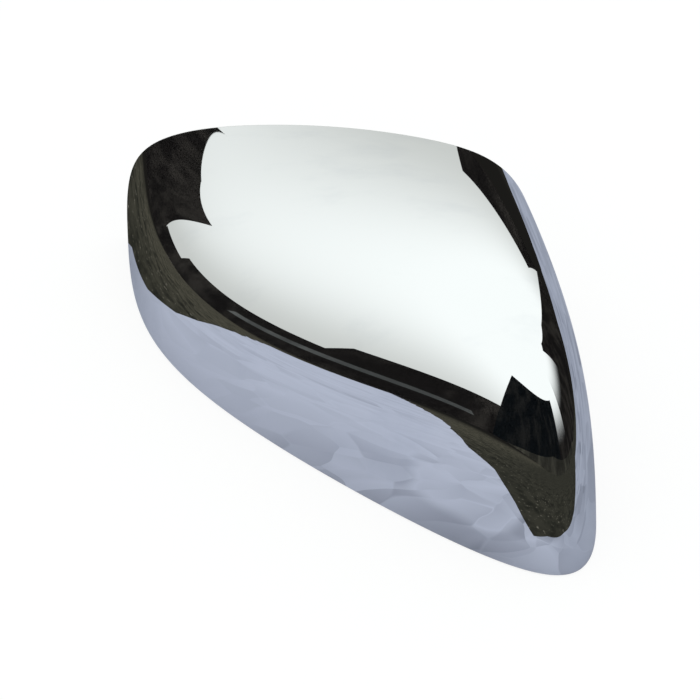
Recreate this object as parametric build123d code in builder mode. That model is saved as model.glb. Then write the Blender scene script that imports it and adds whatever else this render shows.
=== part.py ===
"""Chrome wing mirror cover: one plated moulding, an open shell that clips over the housing of a door mirror.

Frame: +Z points up, away from the rim plane z = 0 on which the cover rests. X runs along the parting side,
which is open and faces +Y. The tip points to +X and -Y. The origin is the middle of the bounding box at rim
level. All sizes are in millimetres.
"""
import os

from build123d import *

# Moulding
WALL = 2.5
EDGE_BREAK = 0.5
RIB = 1.5

# Plan of the rim: its two corners, and where its two ends pass out behind the parting side
LEFT_CORNER_X = -83.5
LEFT_CORNER_Y = -19.5
TIP_X = 131.0
TIP_Y = -116.5
LEFT_END_X = -116.0
RIGHT_END_X = 59.0
LEFT_CORNER_PULL_BACK = 12.5
LEFT_CORNER_PULL_NEAR = 39.5
TIP_PULL_NEAR = 28.0
TIP_PULL_RIGHT = 20.5
NEAR_SIDE_HOLLOW = 6.5
RIGHT_SIDE_BULGE = 7.0
LEFT_SIDE_SHARE = 0.77
NEAR_SIDE_SHARE = 0.665
RIGHT_SIDE_SHARE = 0.49

# Crown: height over the origin, slope towards the tip, radii of its fall along X and Y, and its twist
CROWN_HEIGHT = 79.4
CROWN_SLOPE_X = 0.25
CROWN_SLOPE_Y = 0.023
CROWN_RADIUS_X = 415.0
CROWN_RADIUS_Y = 262.0
CROWN_TWIST_RADIUS = 335.0

# Section of the skin, from the ridge behind the parting side out to the foot: where the ridge starts and
# how long it is, as shares of the parting side, and how far out the two poles of the crown stand
RIDGE_START_SHARE = 0.25
RIDGE_LENGTH_SHARE = 0.5
CROWN_REACH_SHARES = (0.3, 0.6)

# The same section at the left end, the near side, the tip and the right side:
# how far out the shoulder and wall poles stand, and their heights as shares of the crown height
SHOULDER_REACH_SHARE = (0.945, 0.80, 0.945, 0.82)
SHOULDER_HEIGHT_SHARE = (0.905, 1.055, 0.99, 0.905)
WALL_REACH_SHARE = (0.995, 0.91, 0.94, 0.965)
WALL_HEIGHT_SHARE = (0.885, 0.345, 0.87, 0.645)

# Parting side: an arc in plan, seen from above
PARTING_Y = 84.0
PARTING_MID_X = -24.5
PARTING_RADIUS = 500.0

# How far the untrimmed skin runs on below the rim plane and behind the parting side
SKIRT = 14.0
BEHIND = 20.0

# Snap hooks round the inside of the wall: stations along the rim, from the left end round to the right side
HOOK_STATION_SHARES = (0.12, 0.29, 0.45, 0.88)
HOOK_SECTION_SHARE = 0.93
HOOK_INSET = 9.0
HOOK_WIDTH = 12.0
HOOK_THICKNESS = 2.0
HOOK_CATCH = 1.8
HOOK_LEAD = 3.0
HOOK_LAND = 1.0
HOOK_BACK = 1.0
HOOK_CLEAR = 5.0
GUSSET_CLEAR = 22.0

# Locating pegs under the crown: a round end on crossed ribs
PEG_SPOTS = ((-40.0, 40.0), (35.0, 15.0))
PEG_DIAMETER = 6.0
PEG_LENGTH = 10.0
PEG_CLEAR = 12.0
PEG_CROSS = 14.0


def rim_poles():
    """Control polygon of the rim in plan, from the left end round the tip to the right end."""
    left_end = Vector(LEFT_END_X, PARTING_Y + BEHIND)
    right_end = Vector(RIGHT_END_X, PARTING_Y + BEHIND)
    left = Vector(LEFT_CORNER_X, LEFT_CORNER_Y)
    tip = Vector(TIP_X, TIP_Y)
    along_left = (left_end - left).normalized()
    along_near = (tip - left).normalized()
    along_right = (right_end - tip).normalized()
    into_near = Vector(-along_near.Y, along_near.X)
    out_right = Vector(along_right.Y, -along_right.X)
    return [
        left_end,
        left_end + (left - left_end) * LEFT_SIDE_SHARE,
        left + along_left * LEFT_CORNER_PULL_BACK,
        left + along_near * LEFT_CORNER_PULL_NEAR,
        left + (tip - left) * NEAR_SIDE_SHARE + into_near * NEAR_SIDE_HOLLOW,
        tip - along_near * TIP_PULL_NEAR,
        tip,
        tip + along_right * TIP_PULL_RIGHT,
        tip + (right_end - tip) * RIGHT_SIDE_SHARE + out_right * RIGHT_SIDE_BULGE,
        right_end,
    ]


# Shares of the four sections at each pole of the rim
SECTION_SHARES = (
    (1, 0, 0, 0),
    (1, 0, 0, 0),
    (0.7, 0.3, 0, 0),
    (0.3, 0.7, 0, 0),
    (0, 1, 0, 0),
    (0, 0.6, 0.4, 0),
    (0, 0, 1, 0),
    (0, 0, 0.4, 0.6),
    (0, 0, 0, 1),
    (0, 0, 0, 1),
)


def blend(values, shares):
    """One size of the section at a pole of the rim."""
    return sum(value * share for value, share in zip(values, shares))


def crown(x, y):
    """Height of the crown over a point of the plan."""
    fall = x * x / (2 * CROWN_RADIUS_X) + y * y / (2 * CROWN_RADIUS_Y) + x * y / CROWN_TWIST_RADIUS
    return CROWN_HEIGHT + CROWN_SLOPE_X * x + CROWN_SLOPE_Y * y - fall


def skin_poles():
    """Control net of the skin: for each pole of the rim, a row of poles from the ridge out to the foot."""
    feet = rim_poles()
    net = []
    for i, (foot, shares) in enumerate(zip(feet, SECTION_SHARES)):
        across = RIDGE_START_SHARE + RIDGE_LENGTH_SHARE * i / (len(feet) - 1)
        ridge = Vector(LEFT_END_X + (RIGHT_END_X - LEFT_END_X) * across, PARTING_Y + BEHIND)
        reaches = (
            0,
            *CROWN_REACH_SHARES,
            blend(SHOULDER_REACH_SHARE, shares),
            blend(WALL_REACH_SHARE, shares),
        )
        parts = (1, 1, 1, blend(SHOULDER_HEIGHT_SHARE, shares), blend(WALL_HEIGHT_SHARE, shares))
        row = []
        for reach, part in zip(reaches, parts):
            spot = ridge + (foot - ridge) * reach
            row.append(Vector(spot.X, spot.Y, crown(spot.X, spot.Y) * part))
        row.append(Vector(foot.X, foot.Y, -SKIRT))
        net.append(row)
    return net


# The outer skin is one smooth patch that runs past the rim plane and the parting side. Its normal points in.
skin = Face.make_bezier_surface(skin_poles())

# Reach of what is cut off by the skin or cuts it: past the tip and past the crown
OVERSIZE = 2 * (TIP_X - LEFT_END_X)
TALL = 2 * CROWN_HEIGHT

with BuildPart() as inside:
    # Snap hooks: a tongue that hangs from the skin, its catch towards the wall, and two gussets to the wall
    for station in HOOK_STATION_SHARES:
        wall_point = skin.position_at(station, HOOK_SECTION_SHARE)
        inward = skin.normal_at(wall_point)
        out = Vector(-inward.X, -inward.Y).normalized()
        spot = Vector(wall_point.X, wall_point.Y) - out * (WALL + HOOK_INSET)
        hook_plane = Plane(origin=spot, x_dir=out, z_dir=Vector(out.Y, -out.X))
        with BuildSketch(hook_plane):
            with BuildLine():
                Polyline(
                    (-HOOK_THICKNESS, TALL),
                    (-HOOK_THICKNESS, HOOK_CLEAR),
                    (-HOOK_THICKNESS / 2, HOOK_CLEAR),
                    (HOOK_CATCH, HOOK_CLEAR + HOOK_LEAD),
                    (HOOK_CATCH, HOOK_CLEAR + HOOK_LEAD + HOOK_LAND),
                    (0, HOOK_CLEAR + HOOK_LEAD + HOOK_LAND + HOOK_BACK),
                    (0, TALL),
                    close=True,
                )
            make_face()
        extrude(amount=HOOK_WIDTH / 2, both=True)
        for side in (-1, 1):
            with BuildSketch(hook_plane.offset(side * (HOOK_WIDTH - RIB) / 2)):
                with Locations((-HOOK_THICKNESS / 2, GUSSET_CLEAR)):
                    Rectangle(3 * HOOK_INSET, TALL - GUSSET_CLEAR, align=(Align.MIN, Align.MIN))
            extrude(amount=RIB / 2, both=True)
    # Locating pegs
    with BuildSketch(Plane.XY.offset(PEG_CLEAR + PEG_LENGTH)):
        with Locations(*PEG_SPOTS):
            Rectangle(PEG_CROSS, RIB)
            Rectangle(RIB, PEG_CROSS)
    extrude(amount=TALL - PEG_CLEAR - PEG_LENGTH)
    with BuildSketch(Plane.XY.offset(PEG_CLEAR)):
        with Locations(*PEG_SPOTS):
            Circle(PEG_DIAMETER / 2)
    extrude(amount=PEG_LENGTH)
    # The outer half of the wall cuts them all off from their upper ends, which are left out below.
    thicken(skin, amount=WALL / 2, mode=Mode.SUBTRACT)

with BuildPart() as cover:
    thicken(skin, amount=WALL)
    # Trimmed by the rim plane and by the arc of the parting side
    with BuildSketch():
        with Locations((PARTING_MID_X, PARTING_Y - PARTING_RADIUS)):
            Circle(PARTING_RADIUS)
        with Locations((0, PARTING_Y)):
            Rectangle(OVERSIZE, OVERSIZE, align=(Align.CENTER, Align.MAX), mode=Mode.INTERSECT)
    extrude(amount=TALL, mode=Mode.INTERSECT)
    rim_edge = cover.edges().group_by(Axis.Z)[0].sort_by(SortBy.LENGTH)[-1]
    parting_edge = cover.faces().sort_by(Axis.Y)[-1].edges().sort_by(SortBy.LENGTH)[-1]
    chamfer([rim_edge, parting_edge], length=EDGE_BREAK)
    cut_level = (PEG_CLEAR + GUSSET_CLEAR) / 2
    add(inside.solids().filter_by(lambda piece: piece.bounding_box().min.Z < cut_level))

cover.part.label = "mirror_cover"
os.makedirs("parts", exist_ok=True)
export_step(cover.part, "parts/mirror_cover.step")
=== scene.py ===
"""Looks of a chrome wing mirror cover: the plated moulding as smooth meshes, and a plain studio round it.

Sizes are in metres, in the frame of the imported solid: +Z points up from the rim plane, and the open parting
side faces +Y.
"""

import logging
import math
from dataclasses import dataclass
from enum import Enum, IntEnum
from functools import cached_property
from typing import Any, Callable, Sequence, Union

import bpy
import numpy as np
from mathutils import Matrix, Vector


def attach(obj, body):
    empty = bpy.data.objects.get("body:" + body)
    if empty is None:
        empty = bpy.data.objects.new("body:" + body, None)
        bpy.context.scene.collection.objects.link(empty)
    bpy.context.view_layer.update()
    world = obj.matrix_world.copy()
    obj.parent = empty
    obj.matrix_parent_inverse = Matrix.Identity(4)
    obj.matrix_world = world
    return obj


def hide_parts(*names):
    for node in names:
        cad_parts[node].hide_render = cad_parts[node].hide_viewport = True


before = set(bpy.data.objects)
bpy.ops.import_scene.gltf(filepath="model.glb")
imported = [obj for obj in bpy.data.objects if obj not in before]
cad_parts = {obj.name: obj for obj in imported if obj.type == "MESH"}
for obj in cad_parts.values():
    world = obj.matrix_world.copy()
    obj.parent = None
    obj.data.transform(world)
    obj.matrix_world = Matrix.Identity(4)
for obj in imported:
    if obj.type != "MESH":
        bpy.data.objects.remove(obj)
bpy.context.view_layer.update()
BODY = "root"
NODE = "mirror_cover"

Array = np.ndarray
Piece = bpy.types.Object
Material = bpy.types.Material
Pair = tuple[float, float]
Triple = tuple[float, float, float]
Colour = tuple[float, float, float, float]

UP = np.array([0.0, 0.0, 1.0])
log = logging.getLogger("mirror_cover")


class Side(IntEnum):
    """Which finish a face of the moulding has; the value is its material slot."""

    SHOW = 0
    BACK = 1


# Curve and surface maths


def bernstein(degree: int, t: Array) -> Array:
    """Weights of a Bezier curve's poles, one row for each parameter along the curve."""
    k, t = np.arange(degree + 1), t[:, None]
    return np.array([math.comb(degree, i) for i in k]) * t**k * (1 - t) ** (degree - k)


def bernstein_slope(degree: int, t: Array) -> Array:
    """Slopes of the weights that bernstein gives, one row for each parameter."""
    lower = np.pad(bernstein(degree - 1, t), ((0, 0), (1, 1)))
    return degree * (lower[:, :-1] - lower[:, 1:])


def unit(vectors: Array) -> Array:
    """Vectors of length one, along the last axis."""
    return vectors / np.linalg.norm(vectors, axis=-1, keepdims=True)


def bisect(gap: Callable[[Array], Array], below: Array, above: Array, rounds: int = 48) -> Array:
    """Finds where a function passes through nought.

    Args:
        gap: The function, which takes and returns one value for each root.
        below: Where it is negative.
        above: Where it is positive.
        rounds: How many times the range is halved.

    Returns:
        The roots.
    """
    for _ in range(rounds):
        middle = (below + above) / 2
        over = gap(middle) > 0
        above = np.where(over, middle, above)
        below = np.where(over, below, middle)
    return (below + above) / 2


def turn_between(start: Array, end: Array, share: float) -> Array:
    """Unit vectors part of the way round from the start ones to the end ones."""
    angle = np.arccos(np.clip(np.sum(start * end, axis=-1, keepdims=True), -1, 1))
    return (np.sin((1 - share) * angle) * start + np.sin(share * angle) * end) / np.sin(angle)


@dataclass(frozen=True)
class Skin:
    """Outer skin of the cover: one smooth patch, from a ridge behind the parting side down to the foot.

    The first parameter runs round the rim from the left end by the tip to the right end, and the second one
    runs from the ridge over the shoulder to the foot. The sizes are those of the solid.
    """

    left_corner: Pair = (-0.0835, -0.0195)
    tip: Pair = (0.1310, -0.1165)
    left_end_x: float = -0.1160
    right_end_x: float = 0.0590
    end_y: float = 0.1040
    left_corner_pull_back: float = 0.0125
    left_corner_pull_near: float = 0.0395
    tip_pull_near: float = 0.0280
    tip_pull_right: float = 0.0205
    near_side_hollow: float = 0.0065
    right_side_bulge: float = 0.0070
    left_side_point: float = 0.77
    near_side_point: float = 0.665
    right_side_point: float = 0.49
    skirt: float = 0.0140
    crown_height: float = 0.0794
    crown_slope: Pair = (0.25, 0.023)
    crown_radius: Pair = (0.415, 0.262)
    twist_radius: float = 0.335
    ridge_start: float = 0.25
    ridge_length: float = 0.5
    crown_reaches: Pair = (0.3, 0.6)
    shoulder_reach: tuple[float, ...] = (0.945, 0.80, 0.945, 0.82)
    shoulder_height: tuple[float, ...] = (0.905, 1.055, 0.99, 0.905)
    wall_reach: tuple[float, ...] = (0.995, 0.91, 0.94, 0.965)
    wall_height: tuple[float, ...] = (0.885, 0.345, 0.87, 0.645)
    section_shares: tuple[tuple[float, ...], ...] = (
        (1, 0, 0, 0), (1, 0, 0, 0), (0.7, 0.3, 0, 0), (0.3, 0.7, 0, 0), (0, 1, 0, 0),
        (0, 0.6, 0.4, 0), (0, 0, 1, 0), (0, 0, 0.4, 0.6), (0, 0, 0, 1), (0, 0, 0, 1),
    )
    search_counts: tuple[int, int] = (81, 61)
    search_steps: int = 25

    def rim_poles(self) -> Array:
        """Control polygon of the rim in plan.

        Returns:
            The poles, from the left end round the tip to the right end.
        """
        left_end = np.array([self.left_end_x, self.end_y])
        right_end = np.array([self.right_end_x, self.end_y])
        left, tip = np.array(self.left_corner), np.array(self.tip)
        along_left, along_near, along_right = unit(left_end - left), unit(tip - left), unit(right_end - tip)
        into_near = np.array([-along_near[1], along_near[0]])
        out_right = np.array([along_right[1], -along_right[0]])
        return np.array([
            left_end,
            left_end + (left - left_end) * self.left_side_point,
            left + along_left * self.left_corner_pull_back,
            left + along_near * self.left_corner_pull_near,
            left + (tip - left) * self.near_side_point + into_near * self.near_side_hollow,
            tip - along_near * self.tip_pull_near,
            tip,
            tip + along_right * self.tip_pull_right,
            tip + (right_end - tip) * self.right_side_point + out_right * self.right_side_bulge,
            right_end,
        ])

    def crown(self, x: Array, y: Array) -> Array:
        """Heights of the crown over points of the plan."""
        fall = (x * x / self.crown_radius[0] + y * y / self.crown_radius[1]) / 2 + x * y / self.twist_radius
        return self.crown_height + self.crown_slope[0] * x + self.crown_slope[1] * y - fall

    @cached_property
    def net(self) -> Array:
        """Poles of the patch.

        Returns:
            The poles, by place round the rim and by place down the section.
        """
        feet = self.rim_poles()
        shares = np.array(self.section_shares, float)
        across = self.ridge_start + self.ridge_length * np.arange(len(feet)) / (len(feet) - 1)
        ridge_x = self.left_end_x + (self.right_end_x - self.left_end_x) * across
        ridge = np.stack([ridge_x, np.full(len(feet), self.end_y)], 1)
        whole = np.ones(len(feet))
        crown_reaches = (reach * whole for reach in (0.0, *self.crown_reaches))
        reaches = (*crown_reaches, shares @ self.shoulder_reach, shares @ self.wall_reach)
        heights = (whole, whole, whole, shares @ self.shoulder_height, shares @ self.wall_height)
        columns = []
        for reach, height in zip(reaches, heights):
            plan = ridge + (feet - ridge) * reach[:, None]
            columns.append(np.column_stack([plan, self.crown(plan[:, 0], plan[:, 1]) * height]))
        columns.append(np.column_stack([feet, np.full(len(feet), -self.skirt)]))
        return np.stack(columns, 1)

    def slopes(self, uv: Array) -> tuple[Array, Array, Array]:
        """Places on the skin and how they move with the two parameters.

        Args:
            uv: Pairs of parameters, along the last axis.

        Returns:
            The points, and their slopes along the first and the second parameter.
        """
        u, v = uv.reshape(-1, 2).T
        around, down = (count - 1 for count in self.net.shape[:2])
        weight_u, weight_v = bernstein(around, u), bernstein(down, v)
        slope_u, slope_v = bernstein_slope(around, u), bernstein_slope(down, v)
        pairs = ((weight_u, weight_v), (slope_u, weight_v), (weight_u, slope_v))
        sums = (np.einsum("ki,kj,ijc->kc", first, second, self.net) for first, second in pairs)
        return tuple(vectors.reshape(uv.shape[:-1] + (3,)) for vectors in sums)

    def at(self, uv: Array, depth: float = 0.0) -> tuple[Array, Array]:
        """Points on the skin, or on the surface that lies evenly below it.

        Args:
            uv: Pairs of parameters, along the last axis.
            depth: How far below the skin the points lie.

        Returns:
            The points and the outward unit normals.
        """
        points, along, down = self.slopes(uv)
        normals = unit(np.cross(down, along))
        return points - depth * normals, normals

    def meet(self, starts: Array, directions: Array, depth: float) -> Array:
        """Finds where straight lines from inside the shell reach a surface below the skin.

        Args:
            starts: Where the lines start, one row each.
            directions: Their directions, one row each.
            depth: How far below the skin the surface lies.

        Returns:
            The points that they reach, one row each.
        """
        parameters = (np.linspace(0, 1, count) for count in self.search_counts)
        lattice = np.stack(np.meshgrid(*parameters), -1).reshape(-1, 2)
        samples, _ = self.at(lattice, depth)
        apart = samples[None] - starts[:, None]
        run = np.einsum("ksc,kc->ks", apart, directions)
        miss = np.linalg.norm(apart - run[..., None] * directions[:, None], axis=-1)
        nearest = np.argmin(np.where(run > 0, miss, np.inf), axis=1)
        uv, length = lattice[nearest], run[np.arange(len(starts)), nearest]
        for _ in range(self.search_steps):
            points, along, down = self.slopes(uv)
            short = starts + length[:, None] * directions - (points - depth * unit(np.cross(down, along)))
            step = np.linalg.solve(np.stack([along, down, -directions], -1), short[..., None])[..., 0]
            uv = np.clip(uv + step[:, :2], 0, 1)
            length = length + step[:, 2]
        return starts + length[:, None] * directions


@dataclass(frozen=True)
class Cut:
    """Where the moulding ends: at the rim plane, and at the arc of the parting side in plan."""

    middle: Pair = (-0.0245, 0.0840)
    radius: float = 0.5000

    def _from_centre(self, points: Array) -> Array:
        """Plan vectors from the centre of the arc to points."""
        return points[..., :2] - np.array([self.middle[0], self.middle[1] - self.radius])

    def inside(self, points: Array) -> Array:
        """How far points stand in front of the parting side."""
        return self.radius - np.linalg.norm(self._from_centre(points), axis=-1)

    def outward(self, points: Array) -> Array:
        """Unit normals of the parting side at points."""
        plan = unit(self._from_centre(points))
        return np.concatenate([plan, np.zeros(plan.shape[:-1] + (1,))], axis=-1)


@dataclass(frozen=True)
class Layer:
    """A surface at one depth below the skin, trimmed by the cut and laid out as a regular grid.

    The grid's first row lies along the parting side from shoulder to shoulder, its last row lies along the
    rim, and its first and last columns climb the two ends of the parting side.
    """

    skin: Skin
    cut: Cut
    depth: float
    clear: float
    columns: int
    rows: int
    # Between which parameters the rim, its two corners and the two turns of the parting side are looked for
    rim_search: Pair = (0.4, 1.0)
    corner_search: tuple[Pair, Pair] = ((0.0, 0.3), (1.0, 0.7))
    turn_search: float = 0.5
    turn_slope: float = math.sin(math.radians(45))
    edge_samples: int = 1200

    def _at(self, u: Array, v: Array) -> tuple[Array, Array]:
        """Points and normals at parameters."""
        return self.skin.at(np.stack([u, v], 1), self.depth)

    def rim(self, u: Array) -> Array:
        """Second parameters where the layer comes down to the rim."""
        above, below = (np.full(len(u), v) for v in self.rim_search)
        return bisect(lambda v: self.clear - self._at(u, v)[0][:, 2], above, below)

    def parting(self, u: Array) -> Array:
        """Second parameters where the layer comes out at the parting side."""
        ridge, rim = np.zeros(len(u)), self.rim(u)
        return bisect(lambda v: self.cut.inside(self._at(u, v)[0]) - self.clear, ridge, rim)

    def _corner_gap(self, u: Array) -> Array:
        """How far in front of the parting side the rim lies."""
        return self.cut.inside(self._at(u, self.rim(u))[0]) - self.clear

    def _turn_gap(self, u: Array) -> Array:
        """How much flatter the parting side is than where its climb turns into its run over the crown."""
        return self._at(u, self.parting(u))[1][:, 2] - self.turn_slope

    @staticmethod
    def _root(gap: Callable[[Array], Array], below: float, above: float) -> float:
        """The first parameter at which a gap closes."""
        return bisect(gap, np.array([below]), np.array([above]))[0]

    def _evenly(self, start: float, end: float, edge: Callable[[Array], Array], count: int) -> Array:
        """Parameter pairs that stand evenly along an edge.

        Args:
            start: First parameter where the edge starts.
            end: First parameter where it ends.
            edge: The edge's second parameter at each first one.
            count: How many steps it is divided into.

        Returns:
            The pairs, one row each.
        """
        u = np.linspace(start, end, self.edge_samples)
        steps = np.linalg.norm(np.diff(self._at(u, edge(u))[0], axis=0), axis=1)
        run = np.concatenate([[0.0], np.cumsum(steps)])
        spaced = np.interp(np.linspace(0, run[-1], count + 1), run, u)
        return np.stack([spaced, edge(spaced)], 1)

    @cached_property
    def uv(self) -> Array:
        """Parameter pairs of the grid, blended in from its four edges.

        Returns:
            The pairs, by row and column.
        """
        left, right = (self._root(self._corner_gap, *ends) for ends in self.corner_search)
        left_turn, right_turn = (self._root(self._turn_gap, end, self.turn_search) for end in (left, right))
        first_row = self._evenly(left_turn, right_turn, self.parting, self.columns)
        last_row = self._evenly(left, right, self.rim, self.columns)
        first_column = self._evenly(left_turn, left, self.parting, self.rows)[:, None]
        last_column = self._evenly(right_turn, right, self.parting, self.rows)[:, None]
        s = np.linspace(0, 1, self.columns + 1)[None, :, None]
        t = np.linspace(0, 1, self.rows + 1)[:, None, None]
        ruled = (1 - t) * first_row + t * last_row + (1 - s) * first_column + s * last_column
        corners = (1 - t) * ((1 - s) * first_row[0] + s * first_row[-1])
        corners = corners + t * ((1 - s) * last_row[0] + s * last_row[-1])
        return ruled - corners


# Meshes


def cells(grid: Array) -> Array:
    """Values at the four corners of each cell of a grid, in order round the cell."""
    corners = (grid[:-1, :-1], grid[:-1, 1:], grid[1:, 1:], grid[1:, :-1])
    return np.stack(corners, 2).reshape((-1, 4) + grid.shape[2:])


def new_piece(name: str, points: Array, faces: Sequence[Sequence[int]]) -> Piece:
    """Makes a piece.

    Args:
        name: Its name.
        points: Its points, along the last axis.
        faces: Numbers of the corners of its faces.

    Returns:
        The piece, in the scene.
    """
    mesh = bpy.data.meshes.new(name)
    mesh.from_pydata(points.reshape(-1, 3).tolist(), [], faces)
    piece = bpy.data.objects.new(name, mesh)
    bpy.context.scene.collection.objects.link(piece)
    return piece


def prism(name: str, outlines: Array) -> Piece:
    """Makes a closed piece from outlines that stand one behind the other.

    Args:
        name: Name of the piece.
        outlines: Points by outline and place.

    Returns:
        The piece, in the scene.
    """
    numbers = np.arange(outlines.shape[0] * outlines.shape[1]).reshape(outlines.shape[:2])
    closed = np.hstack([numbers, numbers[:, :1]])
    # A cell's corners are taken the other way round, so that its face looks out.
    walls = cells(closed)[:, [0, 3, 2, 1]]
    return new_piece(name, outlines, [numbers[0].tolist(), numbers[-1, ::-1].tolist(), *walls.tolist()])


class MeshDraft:
    """Points, faces and corner normals of a mesh that is being put together."""

    def __init__(self) -> None:
        """Starts with nothing."""
        self.points = np.zeros((0, 3))
        self.faces: list[list[int]] = []
        self.normals: list[Array] = []
        self.sides: list[int] = []

    def add_points(self, points: Array) -> Array:
        """Adds points.

        Args:
            points: Places, along the last axis.

        Returns:
            Their numbers, in an array of the same shape.
        """
        first = len(self.points)
        self.points = np.concatenate([self.points, points.reshape(-1, 3)])
        return np.arange(first, len(self.points)).reshape(points.shape[:-1])

    def add_rows(self, numbers: Array, normals: Array, side: Side) -> None:
        """Adds the faces of a grid of points, turned to face the way of their normals.

        Args:
            numbers: Numbers of the points, by row and column. A face with one of them twice is a triangle.
            normals: Their normals, by row and column.
            side: The faces' finish.
        """
        quads, normals = cells(numbers), cells(normals)
        corners = self.points[quads]
        facing = np.cross(corners[:, 2] - corners[:, 0], corners[:, 3] - corners[:, 1])
        wrong = np.sum(facing * normals.sum(axis=1), axis=1) < 0
        quads = np.where(wrong[:, None], quads[:, ::-1], quads)
        normals = np.where(wrong[:, None, None], normals[:, ::-1], normals)
        for quad, corner_normals in zip(quads.tolist(), normals):
            kept = [i for i in range(4) if quad[i] != quad[i - 1]]
            self.faces.append([quad[i] for i in kept])
            self.normals.append(corner_normals[kept])
            self.sides.append(int(side))

    def finish(self, name: str) -> Piece:
        """Makes the mesh.

        Args:
            name: Name of the piece.

        Returns:
            The piece, in the scene.
        """
        piece = new_piece(name, self.points, self.faces)
        piece.data.polygons.foreach_set("material_index", self.sides)
        piece.data.polygons.foreach_set("use_smooth", [True] * len(self.faces))
        piece.data.normals_split_custom_set(np.concatenate(self.normals).tolist())
        return piece


def settle(piece: Piece, finishes: Sequence[Material]) -> None:
    """Gives a piece of the moulding its finishes and ties it to the frame, where it stands for the solid.

    Args:
        piece: The piece, in its place.
        finishes: Its finishes, in the order of their slots.
    """
    for finish in finishes:
        piece.data.materials.append(finish)
    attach(piece, BODY)
    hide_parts(NODE)


# Shader expressions

Value = Union["Signal", float]


class Signal:
    """An output of a node, with the arithmetic that adds Math nodes to its board."""

    def __init__(self, board: "Board", socket: bpy.types.NodeSocket) -> None:
        """Wraps a socket of a board's node."""
        self.board = board
        self.socket = socket

    def _math(self, operation: str, first: Value, second: Value) -> "Signal":
        """A Math node on two values."""
        return self.board.node("ShaderNodeMath", {"operation": operation}, {0: first, 1: second})

    def __add__(self, other: Value) -> "Signal":
        """Sum."""
        return self._math("ADD", self, other)

    def __radd__(self, other: Value) -> "Signal":
        """Sum with a number first."""
        return self._math("ADD", other, self)

    def __sub__(self, other: Value) -> "Signal":
        """Difference."""
        return self._math("SUBTRACT", self, other)

    def __rsub__(self, other: Value) -> "Signal":
        """Difference with a number first."""
        return self._math("SUBTRACT", other, self)

    def __mul__(self, other: Value) -> "Signal":
        """Product."""
        return self._math("MULTIPLY", self, other)

    def __rmul__(self, other: Value) -> "Signal":
        """Product with a number first."""
        return self._math("MULTIPLY", other, self)

    def __abs__(self) -> "Signal":
        """Size without sign."""
        return self._math("ABSOLUTE", self, 0.0)

    def most(self, other: Value) -> "Signal":
        """The larger of two values."""
        return self._math("MAXIMUM", self, other)

    def rise(self, low: float, high: float) -> "Signal":
        """A smooth step, still nought at the low value and one from the high value on."""
        settings = {"interpolation_type": "SMOOTHSTEP"}
        return self.board.node("ShaderNodeMapRange", settings, {0: self, 1: low, 2: high})


Socket = Union[Signal, float, Sequence[float]]
Owner = Union[Material, bpy.types.World]

# Where a Mix node has its two colours among its inputs, and their blend among its outputs
MIX_FIRST, MIX_SECOND, MIX_BLEND = 6, 7, 2


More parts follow.
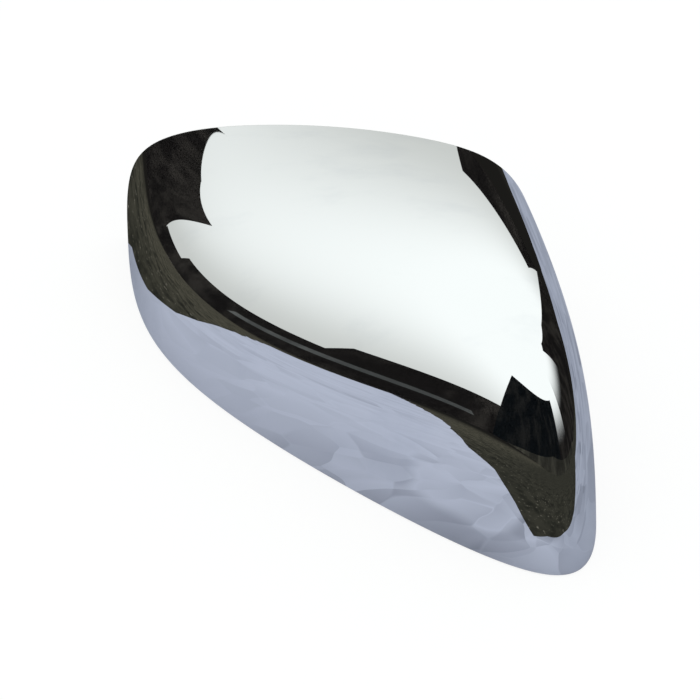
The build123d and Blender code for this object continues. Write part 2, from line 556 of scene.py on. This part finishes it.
class Board:
    """The node tree of a material or of the world."""

    def __init__(self, owner: Owner) -> None:
        """Starts with an empty tree.

        Args:
            owner: The material or the world.
        """
        owner.use_nodes = True
        self.owner, self.tree = owner, owner.node_tree
        self.tree.nodes.clear()

    def node(
        self,
        kind: str,
        settings: dict[str, Any] | None = None,
        sockets: dict[int | str, Socket] | None = None,
        output: int | str = 0,
    ) -> Signal | None:
        """Adds a node.

        Args:
            kind: The node's type.
            settings: Its own settings, which are set first.
            sockets: Values or links of its inputs.
            output: Which of its outputs is wanted.

        Returns:
            That output, or None for a node that has no outputs.
        """
        made = self.tree.nodes.new(kind)
        for name, value in (settings or {}).items():
            setattr(made, name, value)
        for key, value in (sockets or {}).items():
            if isinstance(value, Signal):
                self.tree.links.new(value.socket, made.inputs[key])
            else:
                made.inputs[key].default_value = value
        return Signal(self, made.outputs[output]) if made.outputs else None

    def also(self, made: Signal, output: int | str) -> Signal:
        """Another output of the node that gave one."""
        return Signal(self, made.socket.node.outputs[output])

    def mix(self, share: Value, first: Socket, second: Socket) -> Signal:
        """A blend of two colours, by the share of the second one."""
        sockets = {0: share, MIX_FIRST: first, MIX_SECOND: second}
        return self.node("ShaderNodeMix", {"data_type": "RGBA"}, sockets, MIX_BLEND)

    def _vector(self, operation: str, first: Signal, second: Socket, output: str = "Vector") -> Signal:
        """A Vector Math node on two vectors."""
        return self.node("ShaderNodeVectorMath", {"operation": operation}, {0: first, 1: second}, output)

    def stretch(self, place: Signal, by: Sequence[float]) -> Signal:
        """A place scaled along the axes."""
        return self._vector("MULTIPLY", place, by)

    def shift(self, place: Signal, by: Socket) -> Signal:
        """A place moved along the axes."""
        return self._vector("ADD", place, by)

    def away(self, place: Signal, origin: Socket) -> Signal:
        """The way from an origin to a place."""
        return self._vector("SUBTRACT", place, origin)

    def dot(self, first: Signal, second: Socket) -> Signal:
        """The dot product of two vectors."""
        return self._vector("DOT_PRODUCT", first, second, "Value")

    def axes(self, place: Signal) -> tuple[Signal, Signal, Signal]:
        """The three coordinates of a place."""
        x = self.node("ShaderNodeSeparateXYZ", None, {0: place})
        return x, self.also(x, 1), self.also(x, 2)

    def relief(self, height: Signal, depth: float, strength: float) -> Signal:
        """The normals of a surface with fine relief."""
        sockets = {"Strength": strength, "Distance": depth, "Height": height}
        return self.node("ShaderNodeBump", None, sockets)

    def metal(self, colour: Signal, roughness: Signal, normal: Signal) -> Signal:
        """A plated surface."""
        sockets = {"Base Color": colour, "Metallic": 1.0, "Roughness": roughness, "Normal": normal}
        return self.node("ShaderNodeBsdfPrincipled", None, sockets)

    def matt(self, colour: Socket) -> Signal:
        """A matt surface."""
        return self.node("ShaderNodeBsdfDiffuse", None, {"Color": colour})

    def join(self, share: Value, first: Signal, second: Signal) -> Signal:
        """A blend of two surfaces, by the share of the second one."""
        return self.node("ShaderNodeMixShader", None, {0: share, 1: first, 2: second})

    def close(self, surface: Signal, kind: str = "ShaderNodeOutputMaterial") -> Owner:
        """Leads a surface to the board's output, and gives the finished material or world."""
        self.node(kind, None, {"Surface": surface})
        return self.owner


@dataclass(frozen=True)
class Noise:
    """Soft noise over a surface: its changes in a metre, its finer layers and how strong they are.

    Where two of its levels are given, it is drawn out between them, and so parts the surface into two shades.
    """

    scale: float
    detail: float = 2.0
    roughness: float = 0.5
    levels: Pair | None = None
    stretch: Triple = (1.0, 1.0, 1.0)

    def at(self, board: Board, place: Signal) -> Signal:
        """Adds the noise to a board.

        Args:
            board: The board.
            place: Where the noise is read.

        Returns:
            The noise, between nought and one.
        """
        sockets = {"Scale": self.scale, "Detail": self.detail, "Roughness": self.roughness}
        sockets["Vector"] = board.stretch(place, self.stretch)
        noise = board.node("ShaderNodeTexNoise", None, sockets)
        return noise.rise(*self.levels) if self.levels else noise


# Finishes of the moulding


@dataclass(frozen=True)
class ShowChrome:
    """Bright plating on the polished show side."""

    colour: Colour = (0.86, 0.865, 0.875, 1)
    worn_colour: Colour = (0.80, 0.81, 0.83, 1)
    gloss: float = 0.012
    smudge: float = 0.030
    smudges: Noise = Noise(22.0, 4.0, 0.6, (0.5, 0.78), (1.0, 2.2, 1.0))
    polish: Noise = Noise(900.0, stretch=(0.08, 1.0, 1.0))
    peel: Noise = Noise(38.0, 1.0)
    peel_depth: float = 0.000004
    peel_strength: float = 1.0

    def material(self) -> Material:
        """Makes the material: wiped smudges, fine polishing lines and the slight wave of a moulded skin.

        Returns:
            The material.
        """
        board = Board(bpy.data.materials.new("show_chrome"))
        place = board.node("ShaderNodeTexCoord", output="Object")
        wiped = self.smudges.at(board, place)
        colour = board.mix(wiped, self.colour, self.worn_colour)
        roughness = self.gloss + self.smudge * wiped * self.polish.at(board, place)
        normal = board.relief(self.peel.at(board, place), self.peel_depth, self.peel_strength)
        return board.close(board.metal(colour, roughness, normal))


@dataclass(frozen=True)
class BackPlating:
    """Thin plating on the unpolished back of the moulding."""

    colour: Colour = (0.62, 0.625, 0.635, 1)
    dull_colour: Colour = (0.44, 0.445, 0.46, 1)
    roughness: float = 0.24
    roughness_range: float = 0.16
    clouds: Noise = Noise(26.0, 3.0, 0.55, (0.32, 0.7))
    grain: Noise = Noise(1600.0)
    grain_depth: float = 0.00003
    grain_strength: float = 0.5

    def material(self) -> Material:
        """Makes the material: cloudy plating over the fine grain of the tool.

        Returns:
            The material.
        """
        board = Board(bpy.data.materials.new("back_plating"))
        place = board.node("ShaderNodeTexCoord", output="Object")
        cloud = self.clouds.at(board, place)
        colour = board.mix(cloud, self.colour, self.dull_colour)
        roughness = self.roughness + self.roughness_range * cloud
        normal = board.relief(self.grain.at(board, place), self.grain_depth, self.grain_strength)
        return board.close(board.metal(colour, roughness, normal))


# Pieces of the moulding


@dataclass
class Shell:
    """The wall of the cover: show side, rounded edges, rim, parting side and back."""

    skin: Skin
    cut: Cut
    wall: float = 0.0025
    edge_round: float = 0.0005
    columns: int = 300
    rows: int = 130
    round_steps: int = 5
    corner_steps: int = 4

    @cached_property
    def inner(self) -> Layer:
        """The back of the wall."""
        return Layer(self.skin, self.cut, self.wall, 0.0, self.columns, self.rows)

    def footprint(self) -> Array:
        """Plan of the inside of the rim, from the left end round the tip to the right end."""
        return self.skin.at(self.inner.uv[-1], self.wall)[0][:, :2]

    def _loop(self, grid: Array) -> Array:
        """Values along a grid's edge, round by the rim, with each corner of the rim given several times.

        Args:
            grid: Values by row and column.

        Returns:
            The values in order, the first one again at the end.
        """
        rim, climb, run, fall = grid[-1], grid[::-1, -1], grid[0, ::-1], grid[:, 0]
        left, right = [rim[:1]] * self.corner_steps, [rim[-1:]] * self.corner_steps
        return np.concatenate([*left, rim[:-1], *right, climb[:-1], run[:-1], fall])

    def _ends(self, centres: Array) -> Array:
        """Which way the rounded edge ends along the loop: down at the rim, and out at the parting side.

        Args:
            centres: Centres of the rounding along the loop.

        Returns:
            Unit vectors, one for each place of the loop.
        """
        ends = self.cut.outward(centres)
        steps, down = self.corner_steps, -UP
        right = steps + self.columns
        ends[steps:right] = down
        for step in range(steps + 1):
            share = step / steps
            ends[step] = turn_between(self.cut.outward(centres[step]), down, share)
            ends[right + step] = turn_between(down, self.cut.outward(centres[right + step]), share)
        return ends

    def build(self) -> list[Piece]:
        """Makes the wall as one closed mesh.

        Returns:
            The wall, as the only piece.
        """
        draft = MeshDraft()
        outer = Layer(self.skin, self.cut, self.edge_round, self.edge_round, self.columns, self.rows)
        points, normals = self.skin.at(outer.uv)
        numbers = draft.add_points(points)
        draft.add_rows(numbers, normals, Side.SHOW)

        back_points, back_normals = self.skin.at(self.inner.uv, self.wall)
        back_numbers = draft.add_points(back_points)
        draft.add_rows(back_numbers, -back_normals, Side.BACK)

        edge_normals = self._loop(normals)
        centres = self._loop(points) - self.edge_round * edge_normals
        ends = self._ends(centres)
        rows, facings = [self._loop(numbers)], [edge_normals]
        for step in range(1, self.round_steps + 1):
            facing = turn_between(edge_normals, ends, step / self.round_steps)
            row = draft.add_points((centres + self.edge_round * facing)[:-1])
            rows.append(np.append(row, row[0]))
            facings.append(facing)
        rows.append(self._loop(back_numbers))
        facings.append(ends)
        draft.add_rows(np.stack(rows), np.stack(facings), Side.SHOW)
        return [draft.finish("cover_shell")]

    def dress(self, pieces: Sequence[Piece], finishes: Sequence[Material]) -> None:
        """Gives the wall its two finishes and ties it to the frame."""
        for piece in pieces:
            settle(piece, finishes)


@dataclass
class InsideFeature:
    """A small moulding inside the shell that is rooted in the middle of the wall."""

    skin: Skin
    wall: float
    rib: float = 0.0015
    edge_round: float = 0.0003
    edge_segments: int = 3
    sharp_angle: float = 35.0

    def reach_wall(self, starts: Array, directions: Array) -> Array:
        """Points in the middle of the wall that straight lines from inside reach."""
        return self.skin.meet(starts, directions, self.wall / 2)

    def dress(self, pieces: Sequence[Piece], finishes: Sequence[Material]) -> None:
        """Gives the pieces soft edges and their finish, and ties them to the frame.

        Args:
            pieces: The pieces.
            finishes: The finish of the back.
        """
        for piece in pieces:
            bevel = piece.modifiers.new("edge_round", "BEVEL")
            bevel.width = self.edge_round
            bevel.segments = self.edge_segments
            bevel.limit_method = "ANGLE"
            bevel.angle_limit = math.radians(self.sharp_angle)
            bevel.harden_normals = True
            piece.data.polygons.foreach_set("use_smooth", [True] * len(piece.data.polygons))
            settle(piece, finishes)


@dataclass(frozen=True)
class HookPlace:
    """Where a hook stands: its origin on the rim plane, and the ways along the wall and out to it."""

    origin: Array
    along: Array
    out: Array

    def at(self, along: float, out: float, up: float = 0.0) -> Array:
        """A point, by its distances from the origin."""
        return self.origin + self.along * along + self.out * out + UP * up


@dataclass
class SnapHooks(InsideFeature):
    """Hooks round the inside of the wall: a tongue with a catch, and two gussets that tie it to the wall."""

    stations: tuple[float, ...] = (0.12, 0.29, 0.45, 0.88)
    level: float = 0.93
    inset: float = 0.0090
    width: float = 0.0120
    thickness: float = 0.0020
    catch: float = 0.0018
    lead: float = 0.0030
    land: float = 0.0010
    back: float = 0.0010
    clear: float = 0.0050
    gusset_clear: float = 0.0220
    tongue_outlines: int = 9
    gusset_rays: int = 24

    def _place(self, station: float) -> HookPlace:
        """Where a hook stands.

        Args:
            station: Place round the rim.

        Returns:
            The hook's place.
        """
        point, normal = (values[0] for values in self.skin.at(np.array([[station, self.level]])))
        out = unit(np.array([normal[0], normal[1], 0.0]))
        origin = np.array([point[0], point[1], 0.0]) - out * (self.wall + self.inset)
        return HookPlace(origin, np.array([-out[1], out[0], 0.0]), out)

    def _tongue(self, place: HookPlace) -> Array:
        """Outlines of a tongue across its width, each one rooted in the wall above it.

        Args:
            place: The hook's place.

        Returns:
            Points by outline and place along it.
        """
        catch_level = self.clear + self.lead
        profile = (
            (-self.thickness, self.clear),
            (-self.thickness / 2, self.clear),
            (self.catch, catch_level),
            (self.catch, catch_level + self.land),
            (0.0, catch_level + self.land + self.back),
        )
        outlines = []
        for offset in np.linspace(-self.width / 2, self.width / 2, self.tongue_outlines):
            low = np.array([place.at(offset, out, up) for out, up in profile])
            roots = np.array([place.at(offset, -out) for out in (0.0, self.thickness / 2, self.thickness)])
            high = self.reach_wall(roots, np.tile(UP, (len(roots), 1)))
            outlines.append(np.concatenate([low, high]))
        return np.array(outlines)

    def _gusset(self, place: HookPlace, middle: float) -> Array:
        """Outlines of a gusset's two faces, from the tongue out to the wall and up it.

        Args:
            place: The hook's place.
            middle: How far along the wall the gusset stands.

        Returns:
            Points by outline and place along it.
        """
        angles = np.linspace(0, math.pi / 2, self.gusset_rays)
        rays = np.cos(angles)[:, None] * place.out + np.sin(angles)[:, None] * UP
        outlines = []
        for offset in (middle - self.rib / 2, middle + self.rib / 2):
            start = place.at(offset, -self.thickness / 2, self.gusset_clear)
            reached = self.reach_wall(np.tile(start, (len(rays), 1)), rays)
            outlines.append(np.concatenate([start[None], reached]))
        return np.array(outlines)

    def build(self) -> list[Piece]:
        """Makes the tongues and gussets of all the hooks.

        Returns:
            The pieces, hook by hook.
        """
        pieces = []
        for number, station in enumerate(self.stations, 1):
            place = self._place(station)
            pieces.append(prism(f"snap_hook_{number}", self._tongue(place)))
            for name, side in (("left", -1), ("right", 1)):
                outlines = self._gusset(place, side * (self.width - self.rib) / 2)
                pieces.append(prism(f"snap_hook_{number}_gusset_{name}", outlines))
        return pieces


@dataclass
class LocatingPegs(InsideFeature):
    """Pegs under the crown: a round end that hangs on crossed ribs."""

    edge_round: float = 0.0004
    spots: tuple[Pair, ...] = ((-0.0400, 0.0400), (0.0350, 0.0150))
    diameter: float = 0.0060
    length: float = 0.0100
    clear: float = 0.0120
    cross: float = 0.0140
    facets: int = 48

    def _ribs(self, spot: Pair) -> Array:
        """Outlines of the crossed ribs.

        Args:
            spot: The peg's middle in plan.

        Returns:
            Points along the outlines at the foot and at the root in the wall.
        """
        (x, y), arm, half = spot, self.cross / 2, self.rib / 2
        quarter = ((arm, -half), (arm, half), (half, half))
        foot = []
        for c, s in ((1, 0), (0, 1), (-1, 0), (0, -1)):
            plan = ((x + c * px - s * py, y + s * px + c * py) for px, py in quarter)
            foot.extend((*corner, self.clear + self.length) for corner in plan)
        foot = np.array(foot)
        return np.array([foot, self.reach_wall(foot, np.tile(UP, (len(foot), 1)))])

    def _round_end(self, spot: Pair) -> Array:
        """Outlines of the round end.

        Args:
            spot: The peg's middle in plan.

        Returns:
            Points along the outlines at the tip and where the ribs begin.
        """
        angles = np.linspace(0, 2 * math.pi, self.facets, endpoint=False)
        ring = spot + self.diameter / 2 * np.stack([np.cos(angles), np.sin(angles)], 1)
        heights = (self.clear, self.clear + self.length)
        return np.array([np.column_stack([ring, np.full(self.facets, z)]) for z in heights])

    def build(self) -> list[Piece]:
        """Makes the round ends and the crossed ribs of the pegs.

        Returns:
            The pieces, peg by peg.
        """
        pieces = []
        for number, spot in enumerate(self.spots, 1):
            pieces.append(prism(f"locating_peg_{number}", self._round_end(spot)))
            pieces.append(prism(f"locating_peg_{number}_ribs", self._ribs(spot)))
        return pieces


# Studio


class CardTone(Enum):
    """Colours that a studio card comes in: the painted shade in its cloth folds, and its colour between them.
    """

    BLACK = ((0.004, 0.005, 0.006, 1), (0.013, 0.013, 0.013, 1))
    DARK = ((0.009, 0.008, 0.008, 1), (0.027, 0.024, 0.022, 1))
    GREY = ((0.060, 0.062, 0.062, 1), (0.130, 0.132, 0.130, 1))
    EARTH = ((0.022, 0.021, 0.018, 1), (0.052, 0.049, 0.040, 1))


@dataclass(frozen=True)
class Card:
    """A curved card that stands round the part, by the directions of its corners from there, in degrees.

    A direction is an azimuth, which is nought to the front and grows to the right, and a height.
    """

    name: str
    left: float
    right: float
    top_left: Pair
    top_right: Pair
    foot: float = 0.0
    tone: CardTone = CardTone.DARK
    fade: Pair | None = None
    reach: float = 3.0
    # Noise of the painted shade in the cloth's folds
    cloth_fold_shade: Noise = Noise(3.0, 3.0, 0.6, (0.4, 0.7), (1.0, 1.0, 0.3))

    def grid(self, steps: int) -> Array:
        """Points of the card.

        Args:
            steps: How many steps it is divided into, each way.

        Returns:
            The points, by row and column.
        """
        s = np.linspace(0, 1, steps + 1)[None, :, None]
        t = np.linspace(0, 1, steps + 1)[:, None, None]
        low = (1 - s) * (self.left, self.foot) + s * (self.right, self.foot)
        high = (1 - s) * np.array(self.top_left) + s * np.array(self.top_right)
        turn, lift = np.moveaxis(np.radians((1 - t) * low + t * high), -1, 0)
        level = np.cos(lift)
        return self.reach * np.stack([level * np.sin(turn), -level * np.cos(turn), np.sin(lift)], -1)

    def material(self) -> Material:
        """Makes the card's cloth, with painted shade in its folds, which thins out upwards where the card
        fades.

        Returns:
            The material.
        """
        board = Board(bpy.data.materials.new(f"{self.name}_cloth"))
        place = board.node("ShaderNodeNewGeometry", output="Position")
        surface = board.matt(board.mix(self.cloth_fold_shade.at(board, place), *self.tone.value))
        if self.fade:
            low, high = (self.reach * math.sin(math.radians(height)) for height in self.fade)
            thin = board.axes(place)[2].rise(low, high)
            surface = board.join(thin, surface, board.node("ShaderNodeBsdfTransparent"))
        return board.close(surface)


@dataclass(frozen=True)
class PaleFloor:
    """White of the floor, which the camera and the chrome see with a faint shadow of the part."""

    colour: Colour = (1, 1, 1, 1)
    shadow_share: float = 0.15

    def material(self) -> Material:
        """Makes the material: plain white to the rays that see it, matt to the others, and clear from below.

        Returns:
            The material.
        """
        board = Board(bpy.data.materials.new("pale_floor"))
        shaded = board.matt(self.colour)
        lit = board.node("ShaderNodeEmission", None, {"Color": self.colour, "Strength": 1.0})
        plain = board.join(self.shadow_share, lit, shaded)
        camera = board.node("ShaderNodeLightPath", output="Is Camera Ray")
        glossy, through = board.also(camera, "Is Glossy Ray"), board.also(camera, "Is Transmission Ray")
        above = board.join(camera.most(glossy).most(through), shaded, plain)
        below = board.node("ShaderNodeNewGeometry", output="Backfacing")
        return board.close(board.join(below, above, board.node("ShaderNodeBsdfTransparent")))


@dataclass(frozen=True)
class PalePaper:
    """Creased paper of the sheet, smoother to the left, with painted shade in its creases and right of and
    behind the part.
    """

    colour: Colour = (0.49, 0.51, 0.63, 1)
    # Colour of the painted shade to the right of the part and behind it
    painted_shade_colour: Colour = (0.38, 0.40, 0.50, 1)
    # Colour and strength of the painted shade on tilted facets and in the creases
    crease_shade_colour: Colour = (0.12, 0.13, 0.17, 1)
    crease_shade_strength: float = 0.9
    # Painted facets of three sizes, shaded into the colour: how many of them a metre has, the depth of their
    # painted shade and the softness of their borders
    facets: tuple[Triple, ...] = ((8.0, 0.8, 0.1), (19.0, 0.8, 0.0), (41.0, 0.6, 0.1))
    facet_stretch: Triple = (1.0, 0.7, 1.0)
    facet_step: float = 0.5
    facet_level: Triple = (0.5, 0.5, 0.5)
    wander: Noise = Noise(16.0)
    wander_reach: Triple = (0.03, 0.03, 0.0)
    # How much of the painted crease shade the left keeps, and where along x it grows to full
    left_crease_shade_share: float = 0.35
    crease_shade_rise_x: Pair = (-0.06, 0.05)
    # Where the painted shade to the right of the part and behind it sets in, along x and along y
    shade_x: Pair = (0.07, 0.13)
    shade_y: Pair = (0.0, 0.08)

    def material(self) -> Material:
        """Makes the material, with painted shade where a facet tilts or stands off from the flat sheet, and
        to the right of the part and behind it.

        Returns:
            The material.
        """
        board = Board(bpy.data.materials.new("pale_paper"))
        place = board.node("ShaderNodeNewGeometry", output="Position")
        x, y, _ = board.axes(place)
        wander = board.stretch(board.also(self.wander.at(board, place), "Color"), self.wander_reach)
        bent = board.shift(board.stretch(place, self.facet_stretch), wander)
        # Painted shade of the creases: a facet is darker the more it tilts or stands off from the sheet
        fold_shade = 0.0
        for scale, depth, softness in self.facets:
            sockets = {"Vector": bent, "Scale": scale, "Smoothness": softness}
            facet = board.node("ShaderNodeTexVoronoi", {"feature": "SMOOTH_F1"}, sockets, "Color")
            lean = board.away(facet, self.facet_level)
            tilt = scale * board.dot(board.away(bent, board.also(facet, "Position")), lean)
            fold_shade = fold_shade + depth * (tilt + self.facet_step * board.axes(lean)[2])
        # How strong the painted crease shade is: weaker to the left
        share = self.left_crease_shade_share + (1 - self.left_crease_shade_share) * x.rise(*self.crease_shade_rise_x)
        # Mask of the painted shade to the right of the part and behind it
        shaded = x.rise(*self.shade_x).most(y.rise(*self.shade_y))
        colour = board.mix(shaded, self.colour, self.painted_shade_colour)
        colour = board.mix(abs(fold_shade) * share * self.crease_shade_strength, colour, self.crease_shade_colour)
        return board.close(board.matt(colour))


@dataclass(frozen=True)
class DarkGround:
    """Dark, speckled cloth under the sheet, paler to the left, with painted shadow far off to the front left,
    and darkest behind the part.
    """

    colour: Colour = (0.040, 0.038, 0.030, 1)
    left_colour: Colour = (0.082, 0.075, 0.057, 1)
    dark_colour: Colour = (0.017, 0.017, 0.014, 1)
    speck_colour: Colour = (0.170, 0.155, 0.130, 1)
    # Colour of the painted shadow far off to the front left, which also lies behind the part
    far_shadow_colour: Colour = (0.012, 0.011, 0.010, 1)
    patches: Noise = Noise(45.0, 5.0, 0.65, (0.3, 0.62))
    specks: Noise = Noise(180.0, levels=(0.63, 0.74))
    left_fade_x: Pair = (-0.4, 0.0)
    near_rise_y: Pair = (-1.3, -0.5)
    near_rise_x: Pair = (-0.9, -0.3)
    behind_rise_y: Pair = (0.15, 0.35)

    def material(self) -> Material:
        """Makes the material.

        Returns:
            The material.
        """
        board = Board(bpy.data.materials.new("dark_ground"))
        place = board.node("ShaderNodeNewGeometry", output="Position")
        x, y, _ = board.axes(place)
        pale = board.mix(x.rise(*self.left_fade_x), self.left_colour, self.colour)
        colour = board.mix(self.patches.at(board, place), self.dark_colour, pale)
        colour = board.mix(self.specks.at(board, place), colour, self.speck_colour)
        # Painted shadow far off to the front left; the same dark colour lies behind the part
        near = y.rise(*self.near_rise_y).most(x.rise(*self.near_rise_x))
        colour = board.mix(near * (1 - y.rise(*self.behind_rise_y)), self.far_shadow_colour, colour)
        return board.close(board.matt(colour))


def flat_piece(name: str, plan: Array, level: float) -> Piece:
    """Makes a level piece over a plan."""
    points = np.column_stack([plan, np.full(len(plan), level)])
    return new_piece(name, points, [range(len(plan))])


def square(half: float) -> Array:
    """Plan of a square round the origin, by half its width."""
    return half * np.array([(-1, -1), (1, -1), (1, 1), (-1, 1)])


def stage_piece(piece: Piece, material: Material, seen: bool = False) -> Piece:
    """Gives a studio piece its material and sets which rays see it.

    Args:
        piece: The piece.
        material: Its material.
        seen: Whether the camera sees it. If not, only reflections show it, and it takes no light away.

    Returns:
        The same piece.
    """
    piece.data.materials.append(material)
    piece.visible_camera = piece.visible_diffuse = seen
    piece.visible_transmission = piece.visible_shadow = seen
    return piece


@dataclass
class Studio:
    """Plain pale floor under a soft dome, what the chrome reflects of the set round it, and the camera."""

    floor_half: float = 4.0
    floor_level: float = -0.0003
    inside_level: float = -0.00005
    bright_sky: Colour = (1.09, 1.14, 1.12, 1)
    low_sky: Colour = (0.645, 0.672, 0.645, 1)
    sky_axis: Triple = (0.37, -0.15, 0.917)
    sky_range: Pair = (-0.17, 0.49)
    sheet_outline: tuple[Pair, ...] = (
        (-1.700, -1.250), (-0.410, -0.450), (-0.103, -0.231), (-0.027, -0.197), (0.041, -0.146),
        (0.076, -0.117), (0.090, -0.125), (0.126, -0.126), (0.175, -0.108), (0.450, -0.085),
        (0.450, 0.575), (-0.113, 0.068), (-0.113, 0.036), (-0.131, 0.003), (-0.172, -0.028),
        (-0.280, -0.087), (-0.978, -0.482),
    )
    sheet_level: float = -0.0001
    sheet_ripples: tuple[Pair, ...] = ((0.173, 0.0040), (0.083, 0.0020), (0.037, 0.0008))
    ripple_samples: int = 5
    sheet_calm: float = 0.3
    ground_half: float = 3.0
    ground_level: float = -0.0002
    card_steps: int = 16
    cards: tuple[Card, ...] = (
        Card("left", -128, -100, (-131, 33.2), (-109, 34.8)),
        Card("far_left", -140, -127, (-151.5, 29.1), (-130.5, 33.3)),
        Card("left_low", -103, -88, (-103, 13), (-90, 10)),
        Card("near_left_low", -92, -60, (-89, 15), (-60, 9)),
        Card("near_low", -62, -34, (-62, 14.5), (-34, 17.5)),
        Card("near", -38, 34, (-38, 45), (34, 46), tone=CardTone.BLACK),
        Card("near_right", 34, 62, (34, 62), (62, 62), fade=(14, 50)),
        Card("right", 62, 112, (62, 66), (112, 66), fade=(30, 64)),
        Card("far_right", 112, 132, (112, 62), (124, 60)),
        Card("far_edge", 130, 158, (122, 61), (141, 41)),
        Card("far_low", 158, 179.5, (160, 11), (179.5, 8.5)),
        Card("near_bank", -32, 15, (-32, 0.2), (15, 8.8), tone=CardTone.EARTH, reach=2.9),
        Card("right_bank", 15, 88, (15, 8.8), (80, 3.0), tone=CardTone.EARTH, reach=2.9),
        Card("near_strip", -72, -44, (-71, 6.5), (-45, 6.0), foot=4.5, tone=CardTone.GREY, reach=2.95),
    )
    aim: Triple = (0.0025, 0.0, 0.0)
    aim_right: float = 0.0003
    aim_up: float = 0.0163
    azimuth: float = 10.74
    elevation: float = 43.45
    distance: float = 1.0
    view_width: float = 0.280
    sensor: float = 36.0
    clip_start: float = 0.01

    def floor(self, footprint: Array) -> list[Piece]:
        """Makes the floor, and the piece of it inside the rim, which the back of the part reflects.

        Args:
            footprint: Plan of the inside of the rim.

        Returns:
            The floor and the piece inside the rim.
        """
        material = PaleFloor().material()
        floor = flat_piece("floor", square(self.floor_half), self.floor_level)
        inside = flat_piece("floor_inside", footprint, self.inside_level)
        return [stage_piece(floor, material, seen=True), stage_piece(inside, material)]

    def _sheet_edge(self) -> Array:
        """Plan of the sheet, with its slightly uneven edge.

        Returns:
            Points along the edge.
        """
        corners = np.array(self.sheet_outline)
        step = self.sheet_ripples[-1][0] / self.ripple_samples
        edge = []
        for start, end in zip(corners, np.roll(corners, -1, axis=0)):
            run = np.linalg.norm(end - start)
            along = (end - start) / run
            across = np.array([-along[1], along[0]])
            places = np.arange(0, run, step)[:, None]
            wave = sum(size * np.sin(2 * math.pi * places / length) for length, size in self.sheet_ripples)
            calm = np.minimum(1, np.minimum(places, run - places) / self.sheet_calm)
            edge.append(start + along * places + across * wave * calm)
        return np.concatenate(edge)

    def reflected_set(self) -> list[Piece]:
        """Makes what the chrome reflects: the sheet under the part, the ground round it and the cards.

        Returns:
            The pieces.
        """
        sheet = flat_piece("sheet", self._sheet_edge(), self.sheet_level)
        ground = flat_piece("ground", square(self.ground_half), self.ground_level)
        pieces = [stage_piece(sheet, PalePaper().material()), stage_piece(ground, DarkGround().material())]
        places = self.card_steps + 1
        faces = cells(np.arange(places**2).reshape(places, places)).tolist()
        for card in self.cards:
            piece = new_piece(f"card_{card.name}", card.grid(self.card_steps), faces)
            pieces.append(stage_piece(piece, card.material()))
        return pieces

    def sky(self) -> None:
        """Makes the dome: white overhead and to the right, and a little duller low on the left."""
        board = Board(bpy.data.worlds.new("studio"))
        along = board.dot(board.node("ShaderNodeTexCoord", output="Generated"), self.sky_axis)
        colour = board.mix(along.rise(*self.sky_range), self.low_sky, self.bright_sky)
        surface = board.node("ShaderNodeBackground", None, {"Color": colour, "Strength": 1.0})
        bpy.context.scene.world = board.close(surface, "ShaderNodeOutputWorld")

    def camera(self) -> None:
        """Makes the camera at the photograph's angle."""
        turn, lift = math.radians(self.azimuth), math.radians(self.elevation)
        back = Vector((math.sin(turn) * math.cos(lift), -math.cos(turn) * math.cos(lift), math.sin(lift)))
        right = Vector((math.cos(turn), math.sin(turn), 0.0))
        up = back.cross(right)
        place = Vector(self.aim) + back * self.distance
        aim = Vector(self.aim) + right * self.aim_right + up * self.aim_up
        data = bpy.data.cameras.new("camera")
        data.sensor_width = self.sensor
        data.lens = self.sensor * self.distance / self.view_width
        data.clip_start = self.clip_start
        camera = bpy.data.objects.new("camera", data)
        facing = (aim - place).to_track_quat("-Z", "Y").to_matrix().to_4x4()
        camera.matrix_world = Matrix.Translation(place) @ facing
        bpy.context.scene.collection.objects.link(camera)
        bpy.context.scene.camera = camera


def main() -> None:
    """Builds the pieces in order, dresses and reports them, and sets up the studio."""
    logging.basicConfig(level=logging.INFO, format="%(name)s: %(message)s")
    chrome, plating = ShowChrome().material(), BackPlating().material()
    skin = Skin()
    shell = Shell(skin, Cut())
    hooks, pegs = SnapHooks(skin, shell.wall), LocatingPegs(skin, shell.wall)
    pieces = []
    for assembly, finishes in ((shell, (chrome, plating)), (hooks, (plating,)), (pegs, (plating,))):
        made = assembly.build()
        assembly.dress(made, finishes)
        pieces += made
    studio = Studio()
    pieces += studio.floor(shell.footprint()) + studio.reflected_set()
    studio.sky()
    studio.camera()
    for piece in pieces:
        log.info("%s: %d faces", piece.name, len(piece.data.polygons))
    bpy.context.scene.view_settings.view_transform = "Standard"


if __name__ == "__main__":
    main()
